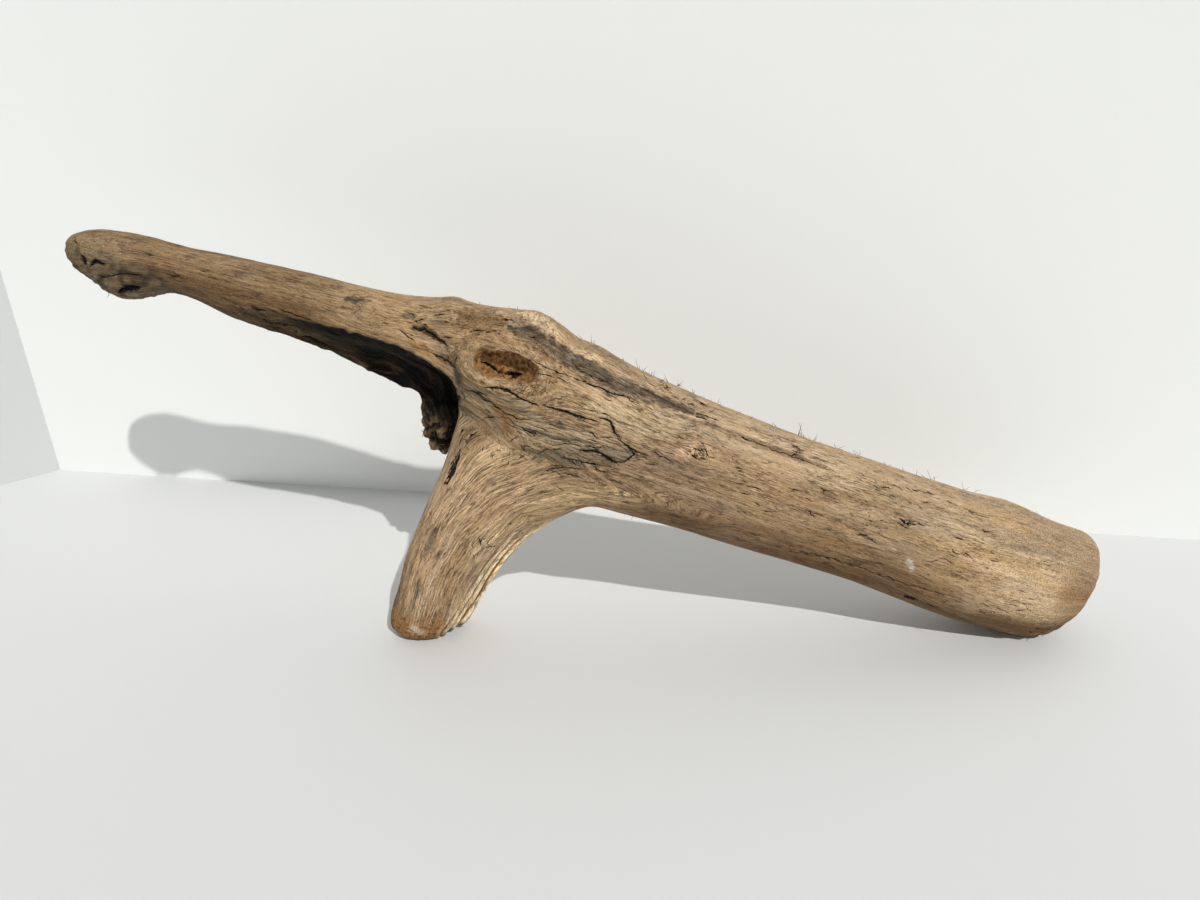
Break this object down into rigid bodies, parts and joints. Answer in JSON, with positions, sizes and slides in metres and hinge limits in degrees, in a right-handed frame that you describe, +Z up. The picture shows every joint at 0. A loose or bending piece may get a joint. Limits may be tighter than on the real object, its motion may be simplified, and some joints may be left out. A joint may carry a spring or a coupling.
{
  "type": "driftwood log",
  "caption": "Weathered driftwood log: a stub leg props its fork, a long limb tapers up one way with a rotted gutter beneath, and the thick stem lies down to a rounded butt.",
  "frame": {"origin": "on the ground, under the middle of the log's length and depth", "axes": "+X from the limb's tip to the butt, +Z up, +Y away from the side with the knot"},
  "size_m": [0.695, 0.1144, 0.2725],
  "materials": {
    "driftwood": "weathered, matt",
    "pale_wood": "freshly worn, matt",
    "rotten_wood": "rotten, matt",
    "knot_wood": "fibrous, matt",
    "grey_wood": "weathered, matt",
    "fibre": "matt"
  },
  "bodies": {
    "root": {"stem": "driftwood", "tapering_limb": "driftwood", "leg": "driftwood", "second_toe": "pale_wood", "torn_skirt": "rotten_wood", "knot_collar": "driftwood", "knot_core": "knot_wood", "crown_burl": "driftwood", "tip_burl": "grey_wood"}
  },
  "joints": []
}
